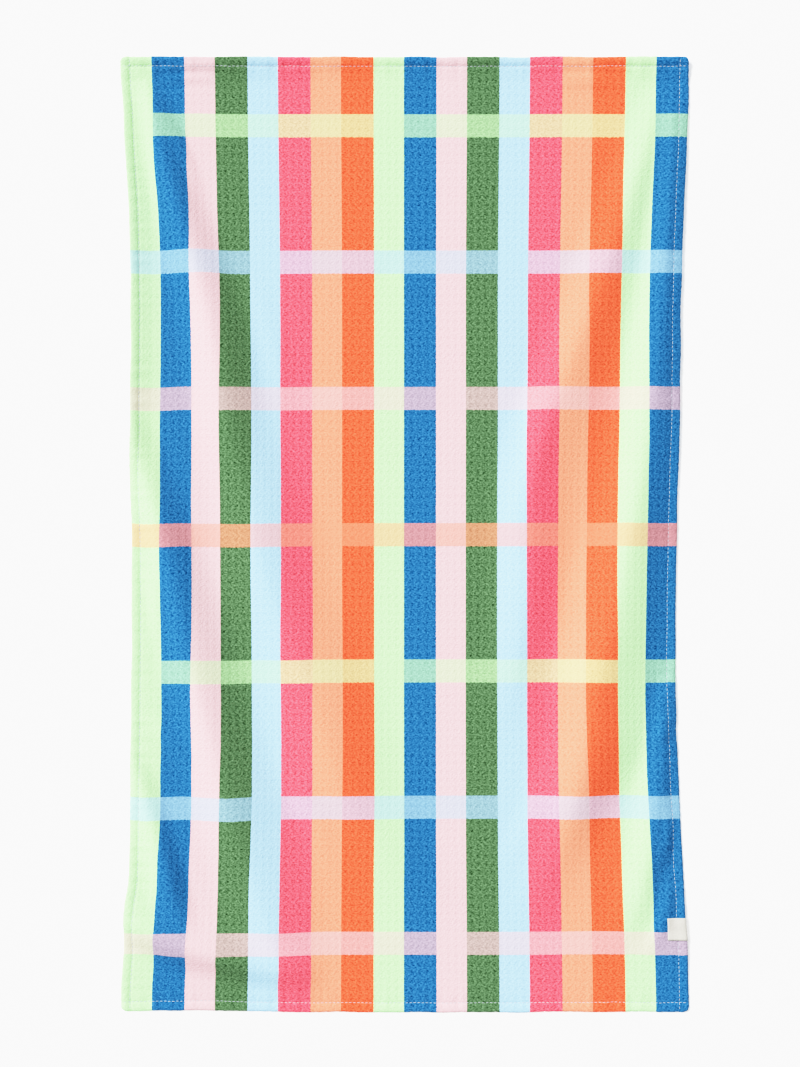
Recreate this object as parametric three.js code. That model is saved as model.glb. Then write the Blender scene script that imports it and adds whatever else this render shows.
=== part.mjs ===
// A tea towel lying face up on a table, in the soft folds in which it was laid down, with a small
// woven label folded round its right edge. Millimetres, +Z up: +X runs to the towel's right edge,
// +Y to its top edge. "Across" and "along" are distances on the cloth from its middle, as it was
// cut, before the folds draw it in.
import * as THREE from 'three';

// Cloth, as cut
const CUT_WIDTH = 416;
const CUT_LENGTH = 700;
const CLOTH_THICK = 1.4;
const CORNER_ROUND = 3.5;

// The stretchy cloth has been pulled lengthwise, so it is drawn in at its waist, and its ends stay
// nearly level: the cloth makes up this share of the length that the folds take up
const WAIST_DRAW = 0.018;
const WAIST_REACH = 190;
const ENDS_EVENED = 0.75;

// Hem, turned in on all four sides and stitched down
const HEM_WIDTH = 6.3;
const HEM_THICK = 2.1;
const EDGE_ROLL = 0.9;

// Label, a woven strip folded round the right hem
const LABEL_ALONG = -289.5;
const LABEL_WIDTH = 16.6;
const LABEL_REACH = 14;
const LABEL_THICK = 1;
const LABEL_SLACK = 0.3;
const LABEL_STEP = 2;
const LABEL_LIFT_FADE = 34;

// Play between pieces that touch
const PLAY = 0.3;

// Folds that run down the cloth. Each row is a section of one fold, from its top end to its bottom
// end: where it lies along and across the cloth, how high the crest rises, and how wide the flanks
// to its left and right are.
const FOLDS = {
  leftUpper: [
    { along: 342, across: -191, rise: 0, left: 12, right: 14 },
    { along: 316, across: -187, rise: 4, left: 15, right: 20 },
    { along: 279, across: -180, rise: 6, left: 19, right: 25 },
    { along: 244, across: -171, rise: 8, left: 23, right: 29 },
    { along: 202, across: -159, rise: 9, left: 28, right: 34 },
    { along: 160, across: -147, rise: 9.5, left: 32, right: 38 },
    { along: 118, across: -139, rise: 9.5, left: 34, right: 43 },
    { along: 75, across: -131, rise: 9, left: 36, right: 48 },
    { along: 32, across: -118, rise: 8.5, left: 38, right: 54 },
    { along: -33, across: -103, rise: 8, left: 42, right: 58 },
    { along: -92, across: -78, rise: 7, left: 46, right: 60 },
    { along: -151, across: -58, rise: 6.5, left: 48, right: 60 },
    { along: -195, across: -43, rise: 5.5, left: 52, right: 56 },
    { along: -239, across: -14, rise: 3, left: 60, right: 50 },
    { along: -295, across: 24, rise: 0, left: 52, right: 48 },
  ],
  leftEdge: [
    { along: 348, across: -211, rise: 0, left: 9, right: 18 },
    { along: 316, across: -211, rise: 3, left: 9, right: 20 },
    { along: 240, across: -211, rise: 4, left: 9, right: 24 },
    { along: 160, across: -211, rise: 4.5, left: 9, right: 25 },
    { along: 100, across: -211, rise: 4, left: 9, right: 24 },
    { along: 60, across: -211, rise: 2, left: 9, right: 20 },
    { along: 30, across: -211, rise: 0, left: 9, right: 16 },
  ],
  leftLower: [
    { along: 100, across: -212, rise: 0, left: 12, right: 14 },
    { along: 75, across: -206, rise: 3, left: 16, right: 22 },
    { along: 45, across: -197, rise: 5, left: 20, right: 27 },
    { along: 10, across: -186, rise: 7, left: 24, right: 30 },
    { along: -33, across: -175, rise: 8, left: 28, right: 35 },
    { along: -76, across: -165, rise: 9, left: 31, right: 40 },
    { along: -110, across: -157, rise: 9, left: 33, right: 43 },
    { along: -145, across: -147, rise: 9, left: 35, right: 45 },
    { along: -180, across: -137, rise: 8.5, left: 36, right: 48 },
    { along: -215, across: -127, rise: 8, left: 36, right: 52 },
    { along: -250, across: -114, rise: 6.5, left: 36, right: 54 },
    { along: -292, across: -99, rise: 4.5, left: 35, right: 52 },
    { along: -330, across: -86, rise: 2, left: 31, right: 46 },
    { along: -352, across: -80, rise: 0, left: 31, right: 40 },
  ],
  leftCorner: [
    { along: -150, across: -210, rise: 0, left: 10, right: 12 },
    { along: -176, across: -202, rise: 3, left: 14, right: 16 },
    { along: -198, across: -195, rise: 4, left: 18, right: 18 },
    { along: -232, across: -184, rise: 5.5, left: 22, right: 19 },
    { along: -255, across: -177, rise: 6, left: 23, right: 19 },
    { along: -300, across: -165, rise: 0, left: 22, right: 18 },
  ],
  rightUpper: [
    { along: 342, across: 192, rise: 0, left: 16, right: 12 },
    { along: 310, across: 184, rise: 2, left: 22, right: 18 },
    { along: 279, across: 176, rise: 3.5, left: 27, right: 22 },
    { along: 253, across: 168, rise: 4.5, left: 30, right: 26 },
    { along: 228, across: 161, rise: 5, left: 32, right: 29 },
    { along: 202, across: 153, rise: 5.5, left: 33, right: 33 },
    { along: 176, across: 144, rise: 5.5, left: 34, right: 36 },
    { along: 142, across: 131, rise: 6, left: 35, right: 40 },
    { along: 97, across: 114, rise: 6, left: 36, right: 44 },
    { along: 54, across: 100, rise: 6, left: 36, right: 45 },
    { along: 10, across: 93, rise: 6, left: 36, right: 40 },
    { along: -33, across: 92, rise: 5.5, left: 36, right: 33 },
    { along: -76, across: 88, rise: 4, left: 36, right: 30 },
    { along: -119, across: 80, rise: 1.5, left: 36, right: 32 },
    { along: -160, across: 72, rise: 0, left: 36, right: 36 },
  ],
  rightLower: [
    { along: 342, across: 200, rise: 0, left: 10, right: 10 },
    { along: 300, across: 198, rise: 3, left: 15, right: 16 },
    { along: 240, across: 197, rise: 4.5, left: 20, right: 20 },
    { along: 202, across: 195, rise: 5, left: 23, right: 22 },
    { along: 165, across: 193, rise: 6, left: 27, right: 24 },
    { along: 107, across: 188, rise: 7, left: 32, right: 29 },
    { along: 75, across: 184, rise: 7.5, left: 34, right: 33 },
    { along: 40, across: 179, rise: 8.5, left: 37, right: 38 },
    { along: 5, across: 173, rise: 9.5, left: 41, right: 43 },
    { along: -30, across: 167, rise: 10, left: 45, right: 48 },
    { along: -65, across: 160, rise: 10.5, left: 46, right: 52 },
    { along: -92, across: 152, rise: 11, left: 46, right: 56 },
    { along: -120, across: 147, rise: 11, left: 44, right: 58 },
    { along: -150, across: 142, rise: 10, left: 42, right: 57 },
    { along: -180, across: 133, rise: 8.5, left: 42, right: 46 },
    { along: -195, across: 128, rise: 7.5, left: 42, right: 40 },
    { along: -215, across: 122, rise: 5.5, left: 42, right: 36 },
    { along: -240, across: 113, rise: 3, left: 42, right: 34 },
    { along: -270, across: 102, rise: 1, left: 40, right: 34 },
    { along: -300, across: 94, rise: 0, left: 34, right: 30 },
  ],
  rightCorner: [
    { along: -95, across: 204, rise: 0, left: 10, right: 10 },
    { along: -120, across: 201, rise: 2.5, left: 14, right: 13 },
    { along: -160, across: 196, rise: 3.5, left: 20, right: 15 },
    { along: -200, across: 190, rise: 4, left: 24, right: 17 },
    { along: -233, across: 184, rise: 4.5, left: 26, right: 20 },
    { along: -265, across: 175, rise: 3.5, left: 26, right: 22 },
    { along: -310, across: 162, rise: 0, left: 24, right: 20 },
  ],
};

// Folds that run across the cloth. Each row is a section of one fold, from its left end to its right
// end: how far left of the middle and where along the cloth it lies, how high the crest rises, and
// how wide the flanks below and above it are.
const CROSS_FOLDS = {
  bottomLeft: [
    { leftward: 222, along: -275, rise: 5, below: 26, above: 34 },
    { leftward: 195, along: -288, rise: 8, below: 26, above: 34 },
    { leftward: 171, along: -299, rise: 9, below: 26, above: 34 },
    { leftward: 140, along: -308, rise: 8.5, below: 24, above: 32 },
    { leftward: 122, along: -313, rise: 7, below: 22, above: 30 },
    { leftward: 100, along: -318, rise: 4.5, below: 19, above: 26 },
    { leftward: 78, along: -321, rise: 2.5, below: 17, above: 24 },
    { leftward: 55, along: -324, rise: 0, below: 14, above: 20 },
  ],
  topEdge: [
    { leftward: 222, along: 352, rise: 4, below: 26, above: 6 },
    { leftward: 120, along: 352, rise: 3.5, below: 24, above: 6 },
    { leftward: 60, along: 352, rise: 2.5, below: 22, above: 6 },
    { leftward: -60, along: 352, rise: 2, below: 22, above: 6 },
    { leftward: -130, along: 352, rise: 3, below: 24, above: 6 },
    { leftward: -222, along: 352, rise: 3.5, below: 26, above: 6 },
  ],
};

// How far the right side is pulled in beyond the waist that both sides share, down the cloth
const RIGHT_PULL = [
  { along: 120, inward: 0 },
  { along: 75, inward: -0.2 },
  { along: 44, inward: 0.7 },
  { along: -15, inward: 1.9 },
  { along: -74, inward: 2.7 },
  { along: -118, inward: 3 },
  { along: -150, inward: 2.1 },
  { along: -195, inward: 0.9 },
  { along: -254, inward: 1 },
  { along: -300, inward: 0.5 },
  { along: -350, inward: 0 },
];

// Columns that hold a fold's run, its crest and its two flanks
const DOWN_COLUMNS = { run: 'along', crest: 'across', before: 'left', after: 'right' };
const CROSS_COLUMNS = { run: 'leftward', crest: 'along', before: 'below', after: 'above' };

// Under 1, the crest is tighter and the foot of each flank runs out more gently
const CREST_SHARPNESS = 0.85;

// Grid on which the solid is laid out: spacing at the folds, in the flat middle, along the cloth and
// at the fold that crosses it
const FOLD_SPACING = 7.5;
const MIDDLE_HALF_WIDTH = 44;
const MIDDLE_SPACING = 14.7;
const ALONG_SPACING = 24;
const CROSS_TOP = -262;
const CROSS_SPACING = 10.2;
const HEM_LINES = [0, 1, 3.1, 5.6];
const SUM_STEP = 3;
const PROBE = 0.5;
const STEEPEST = 0.97;

const smoothStep = (t) => {
  const s = Math.min(Math.max(t, 0), 1);
  return s * s * (3 - 2 * s);
};

// Value of one column between the rows of a fold, with smooth joins at the rows
function columnAt(rows, run, column, place) {
  let i = 0;
  while (i < rows.length - 2 && place < rows[i + 1][run]) i += 1;
  const trend = (k) => {
    if (k === 0 || k === rows.length - 1) return 0;
    const [before, after] = [rows[k - 1], rows[k + 1]];
    return (after[column] - before[column]) / (after[run] - before[run]);
  };
  const span = rows[i + 1][run] - rows[i][run];
  const t = (place - rows[i][run]) / span;
  const blend = t * t * (3 - 2 * t);
  const straight = rows[i][column] * (1 - blend) + rows[i + 1][column] * blend;
  const bend = t * (1 - t) * ((1 - t) * trend(i) - t * trend(i + 1)) * span;
  return straight + bend;
}

// Height of one fold at a place on its run and aside of it: a crest with a soft flank on each side
function foldHeight(rows, columns, place, aside) {
  const { run, crest, before, after } = columns;
  if (place > rows[0][run] || place < rows[rows.length - 1][run]) return 0;
  const offset = aside - columnAt(rows, run, crest, place);
  const flank = columnAt(rows, run, offset < 0 ? before : after, place);
  if (Math.abs(offset) >= flank) return 0;
  const rise = Math.max(columnAt(rows, run, 'rise', place), 0);
  const down = (Math.abs(offset) / flank) ** CREST_SHARPNESS;
  return rise * 0.5 * (1 + Math.cos(Math.PI * down));
}

// The label's lower half lies between the cloth and the table, so the cloth is lifted over it
function labelLift(across, along) {
  const fromSide = CUT_WIDTH / 2 - LABEL_REACH - PLAY - across;
  const fromEnds = Math.abs(along - LABEL_ALONG) - LABEL_WIDTH / 2 - PLAY;
  const away = Math.hypot(Math.max(fromSide, 0), Math.max(fromEnds, 0));
  return (LABEL_THICK + PLAY) * (1 - smoothStep(away / LABEL_LIFT_FADE));
}

function undersideHeight(across, along) {
  let height = labelLift(across, along);
  for (const rows of Object.values(FOLDS)) {
    height += foldHeight(rows, DOWN_COLUMNS, along, across);
  }
  for (const rows of Object.values(CROSS_FOLDS)) {
    height += foldHeight(rows, CROSS_COLUMNS, -across, along);
  }
  return height;
}

// How much of a short step on the cloth is left, seen from above, on the slope that it lies on
function seenFromAbove(rise, run) {
  if (run === 0) return 1;
  const slope = Math.min(Math.abs(rise / run), STEEPEST);
  return Math.sqrt(1 - slope * slope);
}

function laidAcross(across, along) {
  const count = Math.max(Math.ceil(Math.abs(across) / SUM_STEP), 1);
  const step = across / count;
  let sum = 0;
  for (let i = 0; i < count; i += 1) {
    const [from, to] = [i * step, (i + 1) * step];
    const rise = undersideHeight(to, along) - undersideHeight(from, along);
    sum += step * seenFromAbove(rise, step);
  }
  const fromHem = CUT_LENGTH / 2 - Math.abs(along);
  const [top, bottom] = [RIGHT_PULL[0].along, RIGHT_PULL[RIGHT_PULL.length - 1].along];
  const pull = columnAt(RIGHT_PULL, 'along', 'inward', Math.min(Math.max(along, bottom), top));
  const towardsRight = Math.max(across / (CUT_WIDTH / 2), 0);
  return sum * (1 - WAIST_DRAW * smoothStep(fromHem / WAIST_REACH)) - pull * towardsRight ** 2;
}

// Distance from the top edge as laid, before the cloth's stretch
function foldedLength(across, along) {
  const count = Math.max(Math.ceil((CUT_LENGTH / 2 - along) / SUM_STEP), 1);
  const step = (CUT_LENGTH / 2 - along) / count;
  let sum = 0;
  for (let i = 0; i < count; i += 1) {
    const [from, to] = [along + i * step, along + (i + 1) * step];
    const rise = undersideHeight(across, to) - undersideHeight(across, from);
    sum += step * seenFromAbove(rise, step);
  }
  return sum;
}

const wholeLengths = new Map();

function laidAlong(across, along) {
  if (!wholeLengths.has(across)) wholeLengths.set(across, foldedLength(across, -CUT_LENGTH / 2));
  const whole = wholeLengths.get(across);
  const stretch = 1 + (ENDS_EVENED * (CUT_LENGTH - whole)) / whole;
  return CUT_LENGTH / 2 - foldedLength(across, along) * stretch;
}

function underside(across, along) {
  return new THREE.Vector3(
    laidAcross(across, along), laidAlong(across, along), undersideHeight(across, along));
}

function upward(across, along) {
  const alongX = underside(across + PROBE, along).sub(underside(across - PROBE, along));
  const alongY = underside(across, along + PROBE).sub(underside(across, along - PROBE));
  return alongX.cross(alongY).normalize();
}

// The hem is thickest midway between the cloth's edge and its line of stitches
function clothThickness(across, along) {
  const fromEdge = Math.min(CUT_WIDTH / 2 - Math.abs(across), CUT_LENGTH / 2 - Math.abs(along));
  const t = (fromEdge + EDGE_ROLL) / (HEM_WIDTH + EDGE_ROLL);
  return CLOTH_THICK + (HEM_THICK - CLOTH_THICK) * Math.sin(Math.PI * Math.min(t, 1));
}

// Rounds the towel's corners by drawing in the grid lines that meet there
function roundCorner(across, along) {
  const [halfWidth, halfLength] = [CUT_WIDTH / 2, CUT_LENGTH / 2];
  const a = (Math.abs(across) - halfWidth + CORNER_ROUND) / CORNER_ROUND;
  const b = (Math.abs(along) - halfLength + CORNER_ROUND) / CORNER_ROUND;
  if (a <= 0 || b <= 0) return [across, along];
  const inA = CORNER_ROUND * a * (1 - Math.sqrt(1 - (b * b) / 2));
  const inB = CORNER_ROUND * b * (1 - Math.sqrt(1 - (a * a) / 2));
  return [across - Math.sign(across) * inA, along - Math.sign(along) * inB];
}

// Grid lines from one edge of the cloth to the other, close together at the hems
function gridLines(halfSize, fieldLines) {
  const hem = HEM_LINES.map((line) => line - halfSize);
  return [...hem, ...fieldLines, ...hem.map((line) => -line).reverse()];
}

function evenLines(from, to, spacing) {
  const count = Math.round((to - from) / spacing);
  return Array.from({ length: count + 1 }, (_, i) => from + ((to - from) * i) / count);
}

function acrossLines() {
  const side = CUT_WIDTH / 2 - HEM_WIDTH - 1;
  const folded = evenLines(MIDDLE_HALF_WIDTH, side, FOLD_SPACING);
  const middle = evenLines(-MIDDLE_HALF_WIDTH, MIDDLE_HALF_WIDTH, MIDDLE_SPACING).slice(1, -1);
  return gridLines(CUT_WIDTH / 2, [...folded.map((line) => -line).reverse(), ...middle, ...folded]);
}

function alongLines() {
  const end = CUT_LENGTH / 2 - HEM_WIDTH - 1;
  const crossed = evenLines(-end, CROSS_TOP, CROSS_SPACING);
  return gridLines(CUT_LENGTH / 2, [...crossed, ...evenLines(CROSS_TOP, end, ALONG_SPACING).slice(1)]);
}

// Closes an upper and a lower net of points into one solid. Each square is split along the diagonal
// whose ends differ least in height, so that the folds stay smooth.
function solidBetween(upper, lower) {
  const [rows, columns] = [upper.length, upper[0].length];
  const points = [...upper.flat(), ...lower.flat()];
  const topAt = (i, j) => i * columns + j;
  const under = rows * columns;
  const faces = [];
  for (let i = 0; i < rows - 1; i += 1) {
    for (let j = 0; j < columns - 1; j += 1) {
      const [a, b, c, d] = [topAt(i, j), topAt(i, j + 1), topAt(i + 1, j + 1), topAt(i + 1, j)];
      const falling = Math.abs(points[a].z - points[c].z) > Math.abs(points[b].z - points[d].z);
      const halves = falling ? [[a, b, d], [b, c, d]] : [[a, b, c], [a, c, d]];
      for (const [p, q, r] of halves) faces.push([p, q, r], [under + p, under + r, under + q]);
    }
  }
  const rim = [];
  for (let j = 0; j < columns - 1; j += 1) rim.push(topAt(0, j));
  for (let i = 0; i < rows - 1; i += 1) rim.push(topAt(i, columns - 1));
  for (let j = columns - 1; j > 0; j -= 1) rim.push(topAt(rows - 1, j));
  for (let i = rows - 1; i > 0; i -= 1) rim.push(topAt(i, 0));
  rim.forEach((p, k) => {
    const q = rim[(k + 1) % rim.length];
    faces.push([under + p, under + q, q], [under + p, q, p]);
  });
  const geometry = new THREE.BufferGeometry().setFromPoints(points);
  geometry.setIndex(faces.flat());
  geometry.computeVertexNormals();
  return geometry;
}

function clothGeometry() {
  const net = (raise) => alongLines().map((line) => acrossLines().map((column) => {
    const [across, along] = roundCorner(column, line);
    const point = underside(across, along);
    if (raise) point.addScaledVector(upward(across, along), clothThickness(across, along));
    return point;
  }));
  return solidBetween(net(true), net(false));
}

// Outline of the label's strip, cut across: over the hem, loosely round its edge and back under it
function labelSection(along) {
  const inner = CUT_WIDTH / 2 - LABEL_REACH;
  const lines = evenLines(inner, CUT_WIDTH / 2 + LABEL_SLACK, LABEL_STEP);
  const above = (line) => undersideHeight(line, along) + clothThickness(line, along) + PLAY;
  const below = (line) => undersideHeight(line, along) - PLAY;
  const over = lines.map((line) => new THREE.Vector2(laidAcross(line, along), above(line)));
  const under = lines.map((line) => new THREE.Vector2(laidAcross(line, along), below(line)));
  const [top, bottom] = [over.pop(), under.pop()];
  const radius = (top.y - bottom.y) / 2;
  const turn = (size) => evenLines(Math.PI / 2, -Math.PI / 2, -Math.PI / 8).map((angle) =>
    new THREE.Vector2(top.x + size * Math.cos(angle), bottom.y + radius + size * Math.sin(angle)));
  const raised = (line, by) => line.map((point) => new THREE.Vector2(point.x, point.y + by));
  const outside = [
    ...raised(over, LABEL_THICK), ...turn(radius + LABEL_THICK),
    ...raised(under, -LABEL_THICK).reverse()];
  return [...over, ...turn(radius), ...under.reverse(), ...outside.reverse()];
}

// The label's outline is carried along the hem, whose edge drifts a little with the folds
function labelGeometry() {
  const half = LABEL_WIDTH / 2;
  const places = evenLines(LABEL_ALONG - half, LABEL_ALONG + half, half);
  const outlines = places.map(labelSection);
  const count = outlines[0].length;
  const points = outlines.flatMap((outline, k) => outline.map((point) =>
    new THREE.Vector3(point.x, laidAlong(CUT_WIDTH / 2, places[k]), point.y)));
  const faces = [];
  for (let k = 0; k < places.length - 1; k += 1) {
    for (let i = 0; i < count; i += 1) {
      const [a, b] = [k * count + i, k * count + ((i + 1) % count)];
      faces.push([a, a + count, b], [b, a + count, b + count]);
    }
  }
  const last = count * (places.length - 1);
  for (const [a, b, c] of THREE.ShapeUtils.triangulateShape(outlines[0], [])) {
    faces.push([a, b, c], [last + a, last + c, last + b]);
  }
  const geometry = new THREE.BufferGeometry().setFromPoints(points);
  geometry.setIndex(faces.flat());
  geometry.computeVertexNormals();
  return geometry;
}

function piece(name, geometry, colour, roughness) {
  const material = new THREE.MeshStandardMaterial({ color: colour, roughness, metalness: 0 });
  const mesh = new THREE.Mesh(geometry, material);
  mesh.name = name;
  return mesh;
}

const towel = new THREE.Group();
towel.add(
  piece('towel_cloth', clothGeometry(), 0xf0c4b4, 0.95),
  piece('side_label', labelGeometry(), 0xe8e6e0, 0.9));

// The towel's middle, seen from above, stands over the origin
const middle = new THREE.Box3().setFromObject(towel).getCenter(new THREE.Vector3());
towel.position.set(-middle.x, -middle.y, 0);

export default towel;
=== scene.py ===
import math
from collections import namedtuple

import bpy
import numpy as np
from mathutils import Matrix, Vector


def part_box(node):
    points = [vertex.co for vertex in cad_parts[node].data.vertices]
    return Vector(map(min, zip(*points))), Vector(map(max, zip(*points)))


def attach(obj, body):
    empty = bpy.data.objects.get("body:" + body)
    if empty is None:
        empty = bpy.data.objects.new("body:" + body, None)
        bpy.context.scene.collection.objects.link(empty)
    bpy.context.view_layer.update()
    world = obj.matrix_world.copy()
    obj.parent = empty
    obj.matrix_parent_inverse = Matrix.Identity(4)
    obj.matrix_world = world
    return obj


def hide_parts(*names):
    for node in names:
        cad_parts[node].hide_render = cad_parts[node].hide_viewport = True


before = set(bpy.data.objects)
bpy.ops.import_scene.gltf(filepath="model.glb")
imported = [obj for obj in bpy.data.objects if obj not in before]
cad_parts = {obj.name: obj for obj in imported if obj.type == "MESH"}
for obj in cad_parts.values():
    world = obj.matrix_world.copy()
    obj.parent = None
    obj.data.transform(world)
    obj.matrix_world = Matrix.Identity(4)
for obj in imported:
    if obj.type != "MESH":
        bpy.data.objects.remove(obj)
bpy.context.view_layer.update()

# The towel is one rectangle of waffle-weave microfibre, printed on its face. It is turned in and
# stitched down as a hem on all four sides. It lies face up, flat in the middle, with the soft folds
# that it was dragged into running down both sides.
MM = 0.001
CUT_WIDTH = 416 * MM
CUT_LENGTH = 700 * MM
CLOTH_THICK = 1.4 * MM
CORNER_ROUND = 3.5 * MM
HEM_WIDTH = 6.3 * MM
HEM_THICK = 2.2 * MM
WAIST_DRAW = 0.018
WAIST_REACH = 190 * MM
STEEPEST = 0.97

# The label is folded round the right hem, and the cloth is lifted where it lies over it
LABEL_ALONG = -289.5 * MM
LABEL_WIDTH = 16.6 * MM
LABEL_REACH = 14 * MM
LABEL_LIFT = 1.3 * MM
LABEL_LIFT_FADE = 34 * MM

# Folds that run down the cloth, in millimetres on the flat cloth from its middle. Each row is a section
# of one fold, from its top end to its bottom end: where its crest is along and across the cloth, how
# high that rises, and how wide the flanks to its left and right are.
Section = namedtuple("Section", "along across rise left right")
FOLDS = {
    "left_upper": [
        Section(342, -191, 0, 12, 14),
        Section(316, -187, 4, 15, 20),
        Section(279, -180, 6, 19, 25),
        Section(244, -171, 8, 23, 29),
        Section(202, -159, 9, 28, 34),
        Section(160, -147, 9.5, 32, 38),
        Section(118, -139, 9.5, 34, 43),
        Section(75, -131, 9, 36, 48),
        Section(32, -118, 8.5, 38, 54),
        Section(-33, -103, 8, 42, 58),
        Section(-92, -78, 7, 46, 60),
        Section(-151, -58, 6.5, 48, 60),
        Section(-195, -43, 5.5, 52, 56),
        Section(-239, -14, 3, 60, 50),
        Section(-295, 24, 0, 52, 48),
    ],
    "left_edge": [
        Section(348, -211, 0, 9, 18),
        Section(316, -211, 3, 9, 20),
        Section(240, -211, 4, 9, 24),
        Section(160, -211, 4.5, 9, 25),
        Section(100, -211, 4, 9, 24),
        Section(60, -211, 2, 9, 20),
        Section(30, -211, 0, 9, 16),
    ],
    "left_lower": [
        Section(100, -212, 0, 12, 14),
        Section(75, -206, 3, 16, 22),
        Section(45, -197, 5, 20, 27),
        Section(10, -186, 7, 24, 30),
        Section(-33, -175, 8, 28, 35),
        Section(-76, -165, 9, 31, 40),
        Section(-110, -157, 9, 33, 43),
        Section(-145, -147, 9, 35, 45),
        Section(-180, -137, 8.5, 36, 48),
        Section(-215, -127, 8, 36, 52),
        Section(-250, -114, 6.5, 36, 54),
        Section(-292, -99, 4.5, 35, 52),
        Section(-330, -86, 2, 31, 46),
        Section(-352, -80, 0, 31, 40),
    ],
    "left_corner": [
        Section(-150, -210, 0, 10, 12),
        Section(-176, -202, 3, 14, 16),
        Section(-198, -195, 4, 18, 18),
        Section(-232, -184, 5.5, 22, 19),
        Section(-255, -177, 6, 23, 19),
        Section(-300, -165, 0, 22, 18),
    ],
    "right_upper": [
        Section(342, 192, 0, 16, 12),
        Section(310, 184, 2, 22, 18),
        Section(279, 176, 3.5, 27, 22),
        Section(253, 168, 4.5, 30, 26),
        Section(228, 161, 5, 32, 29),
        Section(202, 153, 5.5, 33, 33),
        Section(176, 144, 5.5, 34, 36),
        Section(142, 131, 6, 35, 40),
        Section(97, 114, 6, 36, 44),
        Section(54, 100, 6, 36, 45),
        Section(10, 93, 6, 36, 40),
        Section(-33, 92, 5.5, 36, 33),
        Section(-76, 88, 4, 36, 30),
        Section(-119, 80, 1.5, 36, 32),
        Section(-160, 72, 0, 36, 36),
    ],
    "right_lower": [
        Section(342, 200, 0, 10, 10),
        Section(300, 198, 3, 15, 16),
        Section(240, 197, 4.5, 20, 20),
        Section(202, 195, 5, 23, 22),
        Section(165, 193, 6, 27, 24),
        Section(107, 188, 7, 32, 29),
        Section(75, 184, 7.5, 34, 33),
        Section(40, 179, 8.5, 37, 38),
        Section(5, 173, 9.5, 41, 43),
        Section(-30, 167, 10, 45, 48),
        Section(-65, 160, 10.5, 46, 52),
        Section(-92, 152, 11, 46, 56),
        Section(-120, 147, 11, 44, 58),
        Section(-150, 142, 10, 42, 57),
        Section(-180, 133, 8.5, 42, 46),
        Section(-195, 128, 7.5, 42, 40),
        Section(-215, 122, 5.5, 42, 36),
        Section(-240, 113, 3, 42, 34),
        Section(-270, 102, 1, 40, 34),
        Section(-300, 94, 0, 34, 30),
    ],
    "right_corner": [
        Section(-95, 204, 0, 10, 10),
        Section(-120, 201, 2.5, 14, 13),
        Section(-160, 196, 3.5, 20, 15),
        Section(-200, 190, 4, 24, 17),
        Section(-233, 184, 4.5, 26, 20),
        Section(-265, 175, 3.5, 26, 22),
        Section(-310, 162, 0, 24, 20),
    ],
}

# Folds that run across it: each row is a section, from the left end to the right end
CrossSection = namedtuple("CrossSection", "leftward along rise below above")
CROSS_FOLDS = {
    "bottom_left": [
        CrossSection(222, -275, 5, 26, 34),
        CrossSection(195, -288, 8, 26, 34),
        CrossSection(171, -299, 9, 26, 34),
        CrossSection(140, -308, 8.5, 24, 32),
        CrossSection(122, -313, 7, 22, 30),
        CrossSection(100, -318, 4.5, 19, 26),
        CrossSection(78, -321, 2.5, 17, 24),
        CrossSection(55, -324, 0, 14, 20),
    ],
    "top_edge": [
        CrossSection(222, 352, 4, 26, 6),
        CrossSection(120, 352, 3.5, 24, 6),
        CrossSection(60, 352, 2.5, 22, 6),
        CrossSection(-60, 352, 2, 22, 6),
        CrossSection(-130, 352, 3, 24, 6),
        CrossSection(-222, 352, 3.5, 26, 6),
    ],
}
CREST_SHARPNESS = 0.85

# How far the right side is pulled in beyond the waist that both sides share, down the cloth. The cloth
# is stretchy, so most of the length that its folds take up is given back, and its ends stay even.
Pull = namedtuple("Pull", "along inward")
RIGHT_PULL = [
    Pull(120, 0), Pull(75, -0.2), Pull(44, 0.7), Pull(-15, 1.9), Pull(-74, 2.7), Pull(-118, 3.0),
    Pull(-150, 2.1), Pull(-195, 0.9), Pull(-254, 1.0), Pull(-300, 0.5), Pull(-350, 0)]
ENDS_EVENED = 0.75

# Small wrinkles, in millimetres on the flat cloth: a soft ridge from one place to another, a little bowed
Wrinkle = namedtuple("Wrinkle", "across along to_across to_along rise width")
WRINKLES = [
    Wrinkle(-200, -128, -160, -178, 1.6, 9),
    Wrinkle(-190, 322, -150, 240, 1.0, 8),
    Wrinkle(-206, 337, -96, 338, 1.1, 4),
    Wrinkle(-196, 329, -120, 330, 0.9, 4),
    Wrinkle(-110, 336, 20, 337, 0.6, 4),
    Wrinkle(60, 337, 190, 336, 0.7, 4),
    Wrinkle(96, 330, 176, 326, 1.3, 9),
    Wrinkle(-128, 210, -88, 60, 1.2, 16),
    Wrinkle(104, 150, 78, -10, 1.1, 16),
    Wrinkle(-200, -10, -190, -90, 1.2, 9),
    Wrinkle(200, -232, 176, -318, 2.0, 9),
    Wrinkle(200, -186, 188, -252, 1.8, 8),
    Wrinkle(201, -128, 190, -160, 1.2, 8),
    Wrinkle(-100, -150, -52, -262, 1.0, 16),
    Wrinkle(104, -160, 66, -262, 1.0, 16),
]
WRINKLE_BOW = 0.06

# Waffle cells, and the lines that carry them: three to a cell on the face, one to a cell behind
CELL_ACROSS = 5.5 * MM
CELL_ALONG = 6.1 * MM
LINES_PER_CELL = 3
HEM_LINES = np.array([0, 0.7, 1.7, 3.1, 4.4, 5.5, 6.3, 7.1]) * MM
BACK_HEM_LINES = [0, 3, 6]

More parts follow.
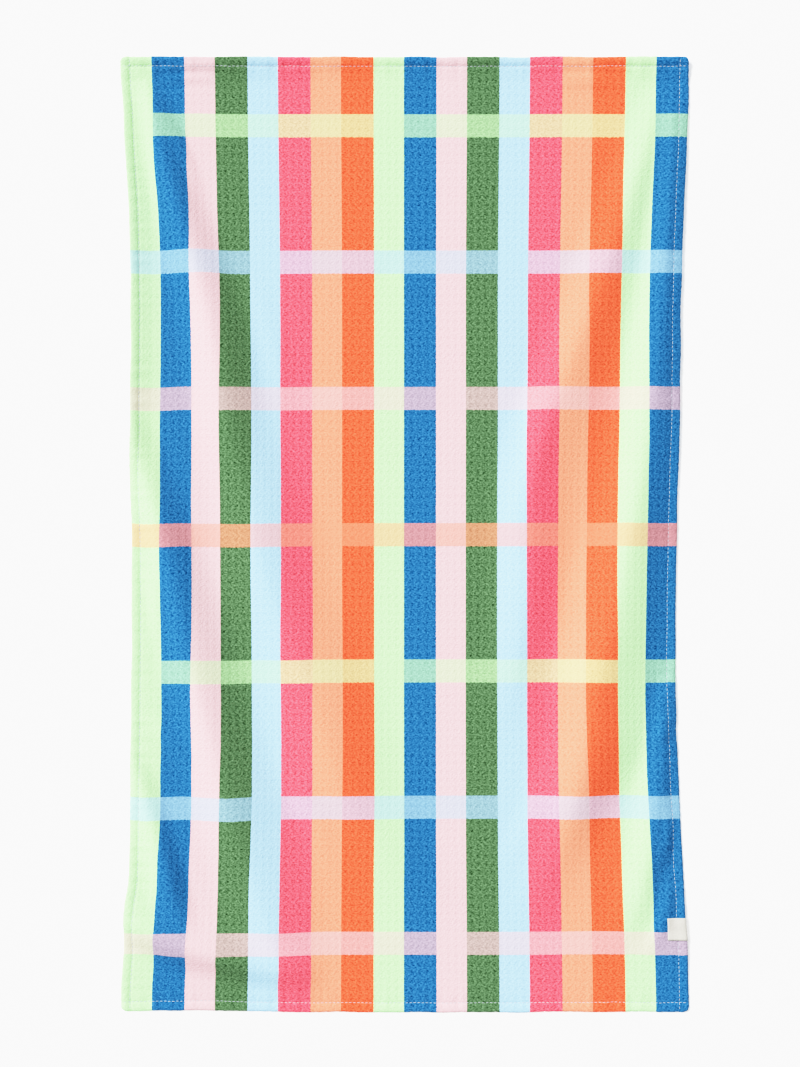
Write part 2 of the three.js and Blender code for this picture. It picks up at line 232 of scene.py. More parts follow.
# Faint unevenness, each with the shortest and longest of its waves: of the whole cloth, of the pucker
# that the stitches draw, and of the outline where the hem was turned and where single loops stand out
UNDULATION = 0.3 * MM
UNDULATION_FADE = 20 * MM
DOWN_WAVES = (30 * MM, 90 * MM)
ACROSS_WAVES = (50 * MM, 160 * MM)
DOWN_WAVE_SLANT = 0.35
ACROSS_WAVE_SLANT = 0.2
PUCKER_RISE = 0.3 * MM
PUCKER_REACH = 8 * MM
PUCKER_WAVES = (7 * MM, 16 * MM)
EDGE_WANDER = 0.3 * MM
WANDER_WAVES = (20 * MM, 80 * MM)
EDGE_NUBS = 0.16 * MM
NUB_REACH = 3 * MM
NUB_WAVES = (4 * MM, 9 * MM)
WAVE_COUNT = 7
WAVE_CALM = 1.5
chance = np.random.default_rng(7)


def smooth_step(t):
    t = np.clip(t, 0, 1)
    return t * t * (3 - 2 * t)


def soft_ridge(reach):
    """A ridge's height from 1 on its crest, at reach 0, down to 0 at reach 1."""
    return 0.5 * (1 + np.cos(math.pi * reach))


def fold_column(rows, name, place):
    """Value of one column at a place on the fold's run, with smooth joins at the rows."""
    places = np.array([row[0] for row in rows]) * MM
    values = np.array([getattr(row, name) for row in rows]) * MM
    trend = np.zeros(len(rows))
    trend[1:-1] = (values[2:] - values[:-2]) / (places[2:] - places[:-2])
    i = np.clip(np.searchsorted(-places, -place, side="right") - 1, 0, len(rows) - 2)
    span = places[i + 1] - places[i]
    t = (place - places[i]) / span
    blend = smooth_step(t)
    bend = t * (1 - t) * ((1 - t) * trend[i] - t * trend[i + 1]) * span
    return values[i] * (1 - blend) + values[i + 1] * blend + bend


def fold_height(rows, place, aside):
    """Height of one fold at a place on its run and aside of it: a crest with a soft flank each side."""
    _, crest, _, before, after = rows[0]._fields
    offset = aside - fold_column(rows, crest, place)
    flank = np.where(offset < 0, fold_column(rows, before, place), fold_column(rows, after, place))
    reach = np.clip(np.abs(offset) / flank, 0, 1) ** CREST_SHARPNESS
    rise = np.maximum(fold_column(rows, "rise", place), 0)
    inside = (place <= rows[0][0] * MM) & (place >= rows[-1][0] * MM)
    return np.where(inside, rise * soft_ridge(reach), 0)


def wrinkle_height(wrinkle, across, along):
    """Height of one small wrinkle, which fades out towards its two ends."""
    start = np.array([wrinkle.across, wrinkle.along]) * MM
    run = np.array([wrinkle.to_across, wrinkle.to_along]) * MM - start
    length = np.hypot(*run)
    way = ((across - start[0]) * run[0] + (along - start[1]) * run[1]) / length
    arch = np.sin(math.pi * np.clip(way / length, 0, 1))
    bow = WRINKLE_BOW * length * arch
    aside = ((along - start[1]) * run[0] - (across - start[0]) * run[1]) / length - bow
    reach = np.clip(np.abs(aside) / (wrinkle.width * MM), 0, 1)
    return wrinkle.rise * MM * arch ** 2 * soft_ridge(reach)


def label_lift(across, along):
    """How far the cloth is lifted by the label's lower half, which lies under it."""
    from_side = np.maximum(CUT_WIDTH / 2 - LABEL_REACH - across, 0)
    from_ends = np.maximum(np.abs(along - LABEL_ALONG) - LABEL_WIDTH / 2, 0)
    return LABEL_LIFT * (1 - smooth_step(np.hypot(from_side, from_ends) / LABEL_LIFT_FADE))


def ripples(place, shortest, longest):
    """An uneven row of small waves, mostly between -1 and 1, the same each time the script runs."""
    waves = np.zeros_like(place)
    for _ in range(WAVE_COUNT):
        length = chance.uniform(shortest, longest)
        waves += np.sin(place / length * math.tau + chance.uniform(0, math.tau))
    return waves / WAVE_COUNT ** 0.5 / WAVE_CALM


def cloth_lines(size, cell):
    """Lines from one edge of the cloth to the other, close together across the hems."""
    hem = HEM_LINES - size / 2
    cells = round((size - 2 * HEM_LINES[-1]) / cell)
    field = np.linspace(hem[-1], -hem[-1], cells * LINES_PER_CELL + 1)
    return np.concatenate([hem[:-1], field, -hem[-2::-1]])


across_lines = cloth_lines(CUT_WIDTH, CELL_ACROSS)
along_lines = cloth_lines(CUT_LENGTH, CELL_ALONG)[::-1]
flat_across, flat_along = np.meshgrid(across_lines, along_lines)
edge_sides = CUT_WIDTH / 2 - np.abs(flat_across)
edge_ends = CUT_LENGTH / 2 - np.abs(flat_along)
from_edge = np.minimum(edge_sides, edge_ends)

# Underside: the folds, the small wrinkles, the lift at the label and a faint unevenness
underside = label_lift(flat_across, flat_along)
for rows in FOLDS.values():
    underside += fold_height(rows, flat_along, flat_across)
for rows in CROSS_FOLDS.values():
    underside += fold_height(rows, -flat_across, flat_along)
for wrinkle in WRINKLES:
    underside += wrinkle_height(wrinkle, flat_across, flat_along)
waves = ripples(flat_along + DOWN_WAVE_SLANT * flat_across, *DOWN_WAVES)
waves *= ripples(flat_across - ACROSS_WAVE_SLANT * flat_along, *ACROSS_WAVES)
underside += UNDULATION * np.abs(waves) * smooth_step(from_edge / UNDULATION_FADE)


def run_on(lines, heights, axis):
    """Place of each line once the cloth has gone up and down its folds, summed from the first."""
    steps = np.diff(lines, axis=axis)
    rises = np.diff(heights, axis=axis)
    steepest = STEEPEST * np.abs(steps)
    seen = np.sqrt(steps ** 2 - np.minimum(np.abs(rises), steepest) ** 2)
    first = np.zeros_like(np.take(heights, [0], axis=axis))
    return np.concatenate([first, np.cumsum(seen, axis=axis)], axis=axis)


# The stitches pucker the cloth along each hem, the ends first and then the sides
pucker = ripples(flat_across, *PUCKER_WAVES) * np.exp(-((edge_ends - HEM_WIDTH) / PUCKER_REACH) ** 2)
pucker += ripples(flat_along, *PUCKER_WAVES) * np.exp(-((edge_sides - HEM_WIDTH) / PUCKER_REACH) ** 2)

# Where each point of the flat cloth comes to lie, seen from above
lay_x = run_on(flat_across, underside, axis=1)
middle_line = len(across_lines) // 2
lay_x -= lay_x[:, middle_line:middle_line + 1]
lay_x *= 1 - WAIST_DRAW * smooth_step(edge_ends / WAIST_REACH)
pulled = np.clip(flat_along, RIGHT_PULL[-1].along * MM, RIGHT_PULL[0].along * MM)
pull = fold_column(RIGHT_PULL, "inward", pulled)
lay_x -= pull * np.maximum(flat_across / (CUT_WIDTH / 2), 0) ** 2
lay_y = run_on(flat_along, underside, axis=0)
shortfall = CUT_LENGTH - lay_y[-1]
lay_y = CUT_LENGTH / 2 - lay_y * (1 + ENDS_EVENED * shortfall / lay_y[-1])


def surface_normals(points):
    """Upward direction of a net of points, row by row from the top of the cloth down."""
    to_right = np.gradient(points, axis=1)
    to_bottom = np.gradient(points, axis=0)
    normals = np.cross(to_bottom, to_right)
    return normals / np.linalg.norm(normals, axis=2, keepdims=True)


normals = surface_normals(np.stack([lay_x, lay_y, underside], axis=2))

# The corners are rounded, and the outline wanders a little where the hem was turned
on_sides = edge_sides <= edge_ends
on_ends = edge_ends < edge_sides
corner_a = np.clip(1 - edge_sides / CORNER_ROUND, 0, 1)
corner_b = np.clip(1 - edge_ends / CORNER_ROUND, 0, 1)
lay_x -= np.sign(flat_across) * CORNER_ROUND * corner_a * (1 - np.sqrt(1 - corner_b ** 2 / 2))
lay_y -= np.sign(flat_along) * CORNER_ROUND * corner_b * (1 - np.sqrt(1 - corner_a ** 2 / 2))
wander = EDGE_WANDER * (1 - smooth_step(from_edge / HEM_WIDTH))
lay_x += wander * ripples(flat_along, *WANDER_WAVES) * on_sides
lay_y += wander * ripples(flat_across, *WANDER_WAVES) * on_ends
nubs = EDGE_NUBS * (1 - smooth_step(from_edge / NUB_REACH))
lay_x += nubs * ripples(flat_along, *NUB_WAVES) * on_sides
lay_y += nubs * ripples(flat_across, *NUB_WAVES) * on_ends

# Upper face: the hem is turned in, so it is puffed between its rolled edge and the groove that its
# stitches pull in. The puff leans towards the edge, and is flatter on the sides than on the ends.
EDGE_ROLL = 0.9 * MM
HEM_LEAN = 0.75
HEM_FULLNESS = 0.7
SIDE_HEM_FLATNESS = 0.35
SIDE_HEM_START = 4 * MM
STITCH_GROOVE = 0.4 * MM
GROOVE_HALF = 0.8 * MM
hem_turn = np.minimum((from_edge + EDGE_ROLL) / (HEM_WIDTH + EDGE_ROLL), 1)
side_hem = smooth_step((edge_ends - edge_sides) / SIDE_HEM_START)
puff = (HEM_THICK - CLOTH_THICK) * np.sin(math.pi * hem_turn ** HEM_LEAN) ** HEM_FULLNESS
puff *= 1 - SIDE_HEM_FLATNESS * side_hem
groove = np.exp(-((edge_sides - HEM_WIDTH) / GROOVE_HALF) ** 2)
groove = np.maximum(groove, np.exp(-((edge_ends - HEM_WIDTH) / GROOVE_HALF) ** 2))

# The waffle stands on the face inside the hem: a ridge on the first of each cell's lines, both ways
WAFFLE_RISE = 0.1 * MM
WAFFLE_LEVEL = 0.6
WAFFLE_FADE = 1.5 * MM
LEVEL_RIDGE = 0.85
RIDGE_UNEVENNESS = 0.2


def cell_ridges(lines):
    """1 on each line that carries a ridge, and 0 on the lines between and in the hems."""
    hem = len(HEM_LINES) - 1
    ridges = np.zeros(len(lines))
    ridges[hem:len(lines) - hem:LINES_PER_CELL] = 1
    return ridges


waffle = np.maximum(cell_ridges(across_lines)[None, :], LEVEL_RIDGE * cell_ridges(along_lines)[:, None])
waffle *= chance.uniform(1 - RIDGE_UNEVENNESS, 1 + RIDGE_UNEVENNESS, waffle.shape)
in_field = smooth_step((from_edge - HEM_LINES[-2]) / WAFFLE_FADE)
thickness = CLOTH_THICK + puff - STITCH_GROOVE * groove + PUCKER_RISE * pucker
thickness += WAFFLE_RISE * (waffle - WAFFLE_LEVEL) * in_field

under_points = np.stack([lay_x, lay_y, underside], axis=2)
face_points = under_points + normals * thickness[:, :, None]

# The towel stands over the origin as its solid does, whose box gives the shift
cloth_low, cloth_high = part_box("towel_cloth")
shift = np.array([
    (cloth_low[0] + cloth_high[0] - face_points[..., 0].min() - face_points[..., 0].max()) / 2,
    (cloth_low[1] + cloth_high[1] - face_points[..., 1].min() - face_points[..., 1].max()) / 2,
    0])
under_points += shift
face_points += shift

# The hem's turn stands 0.35 mm below the back inside it, and the cloth's edge bulges between its faces
TURN_DEPTH = 0.35 * MM
TURN_MARGIN = 0.1 * MM
EDGE_BULGE = 0.5 * MM
LINES_TO_INSIDE = 2


def ring(rows, columns):
    """Indices of a net's outermost points, once round."""
    top = [(0, j) for j in range(columns - 1)]
    right = [(i, columns - 1) for i in range(rows - 1)]
    bottom = [(rows - 1, j) for j in range(columns - 1, 0, -1)]
    left = [(i, 0) for i in range(rows - 1, 0, -1)]
    return top + right + bottom + left


def every_cell(lines):
    """The lines that the coarser back of the cloth keeps."""
    hem = len(HEM_LINES) - 1
    field = list(range(hem, len(lines) - hem, LINES_PER_CELL))
    return BACK_HEM_LINES + field + [len(lines) - 1 - k for k in reversed(BACK_HEM_LINES)]


def net_quads(index, flipped=False):
    """The four-sided faces of a net of point numbers, which look the other way when flipped."""
    here, right = index[:-1, :-1], index[:-1, 1:]
    below, opposite = index[1:, :-1], index[1:, 1:]
    turn = [here, right, opposite, below] if flipped else [here, below, opposite, right]
    return np.stack(turn, axis=2).reshape(-1, 4).tolist()


def put_on_table(name, points, faces, flat=None):
    """A smooth piece made of the given faces, with its places on the flat cloth where it is a sheet."""
    mesh = bpy.data.meshes.new(name)
    mesh.from_pydata(points, [], faces)
    if flat is not None:
        corners = np.empty(len(mesh.loops), dtype=np.int32)
        mesh.loops.foreach_get("vertex_index", corners)
        cloth_map = mesh.uv_layers.new(name="cloth")
        cloth_map.data.foreach_set("uv", flat[corners].astype(np.float32).ravel())
    mesh.polygons.foreach_set("use_smooth", np.ones(len(mesh.polygons), dtype=bool))
    piece = bpy.data.objects.new(name, mesh)
    bpy.context.scene.collection.objects.link(piece)
    return piece


def bulged_edge(outline):
    """Points half way down the cloth's edge, a little outside its face, once round."""
    rows, columns = face_points.shape[:2]
    last_row, last_column = rows - 1 - LINES_TO_INSIDE, columns - 1 - LINES_TO_INSIDE
    edge = []
    for i, j in outline:
        inside = min(max(i, LINES_TO_INSIDE), last_row), min(max(j, LINES_TO_INSIDE), last_column)
        outward = face_points[i, j] - face_points[inside]
        outward[2] = 0
        outward /= np.linalg.norm(outward)
        edge.append((face_points[i, j] + under_points[i, j]) / 2 + outward * EDGE_BULGE)
    return np.array(edge)


def edge_to_back(outline, edge_start, back_at):
    """Faces from the bulged edge to the back, each as long as one step of the coarser back."""
    count = len(outline)
    place = {pair: k for k, pair in enumerate(outline)}
    kept = [pair for pair in outline if pair in back_at]
    faces = []
    for k, pair in enumerate(kept):
        following = kept[(k + 1) % len(kept)]
        first, last = place[pair], place[following]
        last = last if last > first else last + count
        between = [edge_start + m % count for m in range(first, last + 1)]
        faces.append(between + [back_at[following], back_at[pair]])
    return faces


def make_cloth():
    """The whole cloth as one closed sheet: its face, its rounded edge and its coarser back."""
    rows, columns = face_points.shape[:2]
    back_rows, back_columns = every_cell(along_lines), every_cell(across_lines)
    on_back = np.ix_(back_rows, back_columns)
    behind_field = from_edge[on_back] > HEM_WIDTH + TURN_MARGIN
    back = under_points[on_back].copy()
    back[..., 2] += TURN_DEPTH * behind_field
    outline = ring(rows, columns)
    count = len(outline)
    edge_start = rows * columns
    back_start = edge_start + count
    points = np.concatenate([
        face_points.reshape(-1, 3), bulged_edge(outline), back.reshape(-1, 3)])

    index = np.arange(edge_start).reshape(rows, columns)
    back_index = back_start + np.arange(behind_field.size).reshape(behind_field.shape)
    face_quads = net_quads(index)
    back_quads = net_quads(back_index, flipped=True)
    faces = face_quads + back_quads
    for k, pair in enumerate(outline):
        following = (k + 1) % count
        faces.append([
            int(index[pair]), int(index[outline[following]]), edge_start + following, edge_start + k])
    back_at = {}
    for m, i in enumerate(back_rows):
        for n, j in enumerate(back_columns):
            back_at[i, j] = int(back_index[m, n])
    faces += edge_to_back(outline, edge_start, back_at)

    flat = np.stack([flat_across + CUT_WIDTH / 2, flat_along + CUT_LENGTH / 2], axis=2)
    flat_edge = np.array([flat[pair] for pair in outline])
    flat_all = np.concatenate([flat.reshape(-1, 2), flat_edge, flat[on_back].reshape(-1, 2)])
    made = put_on_table("towel", points.tolist(), faces, flat_all)
    unprinted = np.zeros(len(faces), dtype=np.int32)
    inside_turn = behind_field[:-1, :-1] & behind_field[1:, 1:]
    inside_turn &= behind_field[1:, :-1] & behind_field[:-1, 1:]
    unprinted[len(face_quads):len(face_quads) + len(back_quads)] = inside_turn.ravel()
    made.data.polygons.foreach_set("material_index", unprinted)
    made.data.update()
    return made


# Dyes, in steps of 255 as the print looks in full light, with how far the weave's flecks show in each
Dye = namedtuple("Dye", "red green blue flecks")
MINT = Dye(222, 246, 211, 0.032)
BLUE = Dye(46, 133, 198, 0.142)
SKY = Dye(206, 236, 247, 0.034)
GREEN = Dye(101, 146, 96, 0.168)
PALE_PINK = Dye(244, 224, 228, 0.026)
HOT_PINK = Dye(252, 119, 141, 0.125)
PEACH = Dye(253, 190, 153, 0.052)
ORANGE = Dye(252, 125, 79, 0.1)

# The film's exposure, against which the dyes are set, and the most light that any dye gives back
WHITE_EXPOSURE = 3.84
WHITEST = 0.98

# The print is a plain check: upright stripes in a repeat of eight, and paler bands across them
Stripe = namedtuple("Stripe", "dye width")
DEEP_STRIPE, PALE_STRIPE = 24.25 * MM, 22 * MM
REPEAT = [
    Stripe(MINT, PALE_STRIPE), Stripe(BLUE, DEEP_STRIPE), Stripe(PALE_PINK, PALE_STRIPE),
    Stripe(GREEN, DEEP_STRIPE), Stripe(SKY, PALE_STRIPE), Stripe(HOT_PINK, DEEP_STRIPE),
    Stripe(PEACH, PALE_STRIPE), Stripe(ORANGE, DEEP_STRIPE)]
BAND_DYES = [PALE_PINK, SKY, MINT, PEACH]
BAND_SPACING = 100 * MM
BAND_WIDTH = 17 * MM
BAND_COVER = 0.55

# Flecks, short and leaning both ways, that break up the dye and its edges: partly the fibre's own uneven
# tone, partly painted highlight on fibre tips that catch the light
FLECKS_PER_METRE = 900.0
CLUMPS_PER_METRE = 720.0
FLECK_CONTRAST = 15.0
FLECK_STRETCH = (0.85, 1.15, 1)
FUZZ_LEAN = math.radians(-60)
CLUMP_LEAN = math.radians(50)
DYE_CREEP = 0.06 * MM
PATTERN_SHARE = 1.3
FLECK_RELIEF = 0.35
# FIBRE_SHINE is painted sheen: a whitish share that lighter flecks add to the dye and darker flecks take
# from it
FIBRE_SHINE = 0.066
BARE_CLOTH = (0.74, 0.75, 0.73, 1)
BACK_PRINT_SHOWS = 0.35

# Each cell's tufts of yarn lie along its ridges, upright and level, round a pit in its middle. Their
# sizes are shares of a cell.
TUFT_LEAN = 0.45
UPRIGHT_TUFT = 0.40
LEVEL_TUFT = 0.42
TUFT_THICK = 0.17
TUFT_END_SQUARENESS = 3.0
LEVEL_TUFT_SHARE = 0.85
PIT_FLOOR, PIT_RIM = 0.08, 0.42


def given_back(dye):
    """A colour as the camera sees it in full light, turned into the light that the dye gives back."""
    seen = np.array([dye.red, dye.green, dye.blue]) / 255
    return np.minimum(-np.log(1 - seen) / WHITE_EXPOSURE, WHITEST)


# A mixing step has sockets for numbers, vectors and colours: these are the numbers of its colours'
MIXED_COLOUR_A, MIXED_COLOUR_B, MIXED_COLOUR = 6, 7, 2


class Finish:
    """A piece's finish, put together step by step on its surface shader."""

    def __init__(self, name):
        self.material = bpy.data.materials.new(name)
        self.material.use_nodes = True
        self.tree = self.material.node_tree
        self.surface = self.tree.nodes["Principled BSDF"]

    def add(self, kind, settings=None, **inputs):
        made = self.tree.nodes.new(kind)
        for name, value in (settings or {}).items():
            setattr(made, name, value)
        for name, value in inputs.items():
            self.feed(made.inputs[name.replace("_", " ")], value)
        return made

    def feed(self, socket, value):
        if isinstance(value, bpy.types.NodeSocket):
            self.tree.links.new(value, socket)
        else:
            socket.default_value = value

    def sum(self, operation, *values):
        """The result of one step of arithmetic."""
        made = self.tree.nodes.new("ShaderNodeMath")
        made.operation = operation
        for socket, value in zip(made.inputs, values):
            self.feed(socket, value)
        return made.outputs[0]

    def smooth(self, value, low, high):
        """A soft step from 0 at low to 1 at high."""
        made = self.add("ShaderNodeMapRange", {"interpolation_type": "SMOOTHSTEP"})
        for name, given in (("Value", value), ("From Min", low), ("From Max", high)):
            self.feed(made.inputs[name], given)
        return made.outputs[0]

    def steps(self, place, stops):
        """A row of flat colours along a line, each from its own place on."""
        made = self.add("ShaderNodeValToRGB", Fac=place)
        ramp = made.color_ramp
        ramp.interpolation = "CONSTANT"
        while len(ramp.elements) < len(stops):
            ramp.elements.new(1)
        for element, (start, colour) in zip(ramp.elements, stops):
            element.position = start
            element.color = colour
        return made

    def blend(self, share, first, second, kind="MIX"):
        """Two colours mixed, or combined in the way that kind names."""
        made = self.tree.nodes.new("ShaderNodeMix")
        made.data_type = "RGBA"
        made.blend_type = kind
        made.clamp_result = False
        self.feed(made.inputs["Factor"], share)
        self.feed(made.inputs[MIXED_COLOUR_A], first)
        self.feed(made.inputs[MIXED_COLOUR_B], second)
        return made.outputs[MIXED_COLOUR]


def weave_pattern(cloth, u, v):
    """The waffle's tufts and pits: 1 on a tuft's top, 0 at the bottom of a pit."""
    field_start = HEM_LINES[-1]

    def in_cells(place, size, cell):
        """A place on the flat cloth, counted in cells from the hem."""
        field = size - 2 * field_start
        return cloth.sum("MULTIPLY", cloth.sum("SUBTRACT", place, field_start), round(field / cell) / field)

    a = in_cells(u, CUT_WIDTH, CELL_ACROSS)
    b = in_cells(v, CUT_LENGTH, CELL_ALONG)
    from_line_a = cloth.sum("SUBTRACT", a, cloth.sum("ROUND", a))
    from_line_b = cloth.sum("SUBTRACT", b, cloth.sum("ROUND", b))
    from_middle_a = cloth.sum("SUBTRACT", cloth.sum("FRACT", a), 0.5)
    from_middle_b = cloth.sum("SUBTRACT", cloth.sum("FRACT", b), 0.5)

    def tuft(along_it, beside_it, lean, half_length):
        """A soft leaning mound, 1 in its middle."""
        leaning = cloth.sum("MULTIPLY_ADD", along_it, lean, beside_it)
        long_share = cloth.sum("ABSOLUTE", cloth.sum("DIVIDE", along_it, half_length))
        thick_share = cloth.sum("ABSOLUTE", cloth.sum("DIVIDE", leaning, TUFT_THICK))
        ends = cloth.sum("POWER", long_share, TUFT_END_SQUARENESS)
        sides = cloth.sum("POWER", thick_share, 2.0)
        return cloth.sum("EXPONENT", cloth.sum("MULTIPLY", cloth.sum("ADD", ends, sides), -1.0))

    upright = tuft(from_middle_b, from_line_a, -TUFT_LEAN, UPRIGHT_TUFT)
    level = tuft(from_middle_a, from_line_b, TUFT_LEAN, LEVEL_TUFT)
    tufts = cloth.sum("MAXIMUM", upright, cloth.sum("MULTIPLY", level, LEVEL_TUFT_SHARE))
    middle = cloth.sum("SQRT", cloth.sum(
        "ADD", cloth.sum("POWER", from_middle_a, 2.0), cloth.sum("POWER", from_middle_b, 2.0)))
    pit = cloth.sum("SUBTRACT", 1.0, cloth.smooth(middle, PIT_FLOOR, PIT_RIM))
    return cloth.sum("MULTIPLY_ADD", cloth.sum("SUBTRACT", tufts, pit), 0.5, 0.5)


def printed_colour(cloth, u, v):
    """The check, and how far the weave shows through it."""
    repeat_width = sum(stripe.width for stripe in REPEAT)
    place = cloth.sum("FRACT", cloth.sum("DIVIDE", cloth.sum("MAXIMUM", u, 0.0), repeat_width))
    starts = np.cumsum([0] + [stripe.width for stripe in REPEAT[:-1]]) / repeat_width
    stripes = cloth.steps(place, [
        (start, (*given_back(stripe.dye), stripe.dye.flecks)) for start, stripe in zip(starts, REPEAT)])
    turn = cloth.sum("FRACT", cloth.sum("DIVIDE", v, BAND_SPACING * len(BAND_DYES)))
    bands = cloth.steps(turn, [
        (k / len(BAND_DYES), (*given_back(dye), 1)) for k, dye in enumerate(BAND_DYES)])
    in_band = cloth.sum("FRACT", cloth.sum("DIVIDE", v, BAND_SPACING))
    cover = cloth.sum("MULTIPLY", BAND_COVER, cloth.sum(
        "LESS_THAN", cloth.sum("ABSOLUTE", cloth.sum("SUBTRACT", in_band, 0.5)),
        BAND_WIDTH / BAND_SPACING / 2))
    colour = cloth.blend(cover, stripes.outputs["Color"], bands.outputs["Color"])
    shows = cloth.sum("MULTIPLY", stripes.outputs["Alpha"], cloth.sum("SUBTRACT", 1.0, cover))
    return colour, shows


def printed_cloth(name, strength):
    """The printed face, or at less strength the back, where the print only shows through."""
    cloth = Finish(name)
    flat = cloth.add("ShaderNodeUVMap", {"uv_map": "cloth"}).outputs[0]
    parts = cloth.add("ShaderNodeSeparateXYZ", Vector=flat)
    u, v = parts.outputs["X"], parts.outputs["Y"]

    def slanted(turn, fine):
        """Short flecks that lean to one side, between about -1 and 1."""
        leaning = cloth.add(
            "ShaderNodeMapping", Vector=flat, Rotation=(0, 0, turn), Scale=FLECK_STRETCH)
        noise = cloth.add(
            "ShaderNodeTexNoise", Vector=leaning.outputs[0], Scale=fine, Detail=1.0, Roughness=0.5)
        return cloth.sum("MULTIPLY", cloth.sum("SUBTRACT", noise.outputs["Fac"], 0.5), FLECK_CONTRAST)

    fuzz = slanted(FUZZ_LEAN, FLECKS_PER_METRE)
    clump = slanted(CLUMP_LEAN, CLUMPS_PER_METRE)
    soft_u = cloth.sum("MULTIPLY_ADD", fuzz, DYE_CREEP, u)
    soft_v = cloth.sum("MULTIPLY_ADD", clump, DYE_CREEP, v)
    colour, shows = printed_colour(cloth, soft_u, soft_v)
    # The weave's tufts and pits and the flecks are painted into the colour too: painted highlight on tufts
    # and fibre tips, painted shade in the pits, over the cloth's own uneven tone
    raised = weave_pattern(cloth, u, v)
    flecks = cloth.sum("MULTIPLY", cloth.sum("ADD", fuzz, clump), 0.5)
    weave_tone_and_painted_light = cloth.sum("MULTIPLY_ADD", cloth.sum("SUBTRACT", raised, 0.5), PATTERN_SHARE, flecks)
    light = cloth.sum("MULTIPLY_ADD", weave_tone_and_painted_light, shows, 1.0)
    weave_tone_and_painted_light_rgb = cloth.add("ShaderNodeCombineXYZ", X=light, Y=light, Z=light)
    shine = (FIBRE_SHINE, FIBRE_SHINE, FIBRE_SHINE, 1)
    colour = cloth.blend(1.0, colour, shine, "ADD")
    colour = cloth.blend(1.0, colour, weave_tone_and_painted_light_rgb.outputs[0], "MULTIPLY")
    colour = cloth.blend(1.0, colour, shine, "SUBTRACT")
    if strength < 1:
        colour = cloth.blend(strength, BARE_CLOTH, colour)
    cloth.feed(cloth.surface.inputs["Base Color"], colour)
    cloth.surface.inputs["Roughness"].default_value = 0.95
    cloth.surface.inputs["Specular IOR Level"].default_value = 0.1
    cloth.surface.inputs["Sheen Weight"].default_value = 0.05
    cloth.surface.inputs["Sheen Roughness"].default_value = 0.5
    height = cloth.sum("MULTIPLY_ADD", flecks, FLECK_RELIEF, raised)
    bump = cloth.add("ShaderNodeBump", Height=height, Distance=0.2 * MM, Strength=0.5)
    cloth.feed(cloth.surface.inputs["Normal"], bump.outputs[0])
    return cloth.material


towel = make_cloth()
towel.data.materials.append(printed_cloth("printed_face", 1.0))
towel.data.materials.append(printed_cloth("unprinted_back", BACK_PRINT_SHOWS))
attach(towel, "root")
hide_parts("towel_cloth")

# The hem is held by a line of lockstitch on each side, in white polyester thread. The lines run from
# edge to edge and cross at the corners. Each stitch lies in the groove that it has pulled in.
STITCH_PITCH = 2.95 * MM
STITCH_LENGTH = 2.1 * MM
THREAD_THICK = 0.5 * MM
STITCH_SIDES = 6
STITCH_RINGS = 5
STITCH_TAPER = 0.12
STITCH_SINK = 0.42
STITCH_FLATNESS = 0.85
STITCH_WANDER = 0.12 * MM
WANDER_TURN = 0.37
STITCH_JITTER = 0.06 * MM
STITCH_SLANT = 0.05 * MM
SHORT_STITCH, LONG_STITCH = 0.88, 1.1
STITCH_END_GAP = 1.2 * MM


def face_at(across, along):
    """A point on the towel's face and the direction out of it, for a place on the flat cloth."""
    j = np.interp(across, across_lines, np.arange(len(across_lines)))
    i = np.interp(-along, -along_lines, np.arange(len(along_lines)))
    i0, j0 = min(int(i), len(along_lines) - 2), min(int(j), len(across_lines) - 2)
    s, t = i - i0, j - j0

    def mixed(net):
        upper = net[i0, j0] * (1 - t) + net[i0, j0 + 1] * t
        lower = net[i0 + 1, j0] * (1 - t) + net[i0 + 1, j0 + 1] * t
        return upper * (1 - s) + lower * s

    return mixed(face_points), mixed(normals)


def thread_bead(start, end, outward, points, faces):
    """One stitch: a short length of thread that dips into the cloth at both ends."""
    along = end - start
    length = np.linalg.norm(along)
    along /= length
    beside = np.cross(along, outward)
    beside /= np.linalg.norm(beside)
    first = len(points)
    for k in range(STITCH_RINGS):
        t = k / (STITCH_RINGS - 1)
        swell = math.sin(math.pi * (STITCH_TAPER + (1 - 2 * STITCH_TAPER) * t)) ** 0.5
        centre = start + along * length * t + outward * THREAD_THICK * (0.5 * swell - STITCH_SINK)
        for m in range(STITCH_SIDES):
            turn = m / STITCH_SIDES * math.tau
            spoke = beside * math.cos(turn) + outward * math.sin(turn) * STITCH_FLATNESS
            points.append(centre + spoke * THREAD_THICK / 2 * swell)
    for k in range(STITCH_RINGS - 1):
        for m in range(STITCH_SIDES):
            a = first + k * STITCH_SIDES + m
            b = first + k * STITCH_SIDES + (m + 1) % STITCH_SIDES
            faces.append((a, b, b + STITCH_SIDES, a + STITCH_SIDES))
    last = first + (STITCH_RINGS - 1) * STITCH_SIDES
    faces.append([first + m for m in reversed(range(STITCH_SIDES))])
    faces.append([last + m for m in range(STITCH_SIDES)])


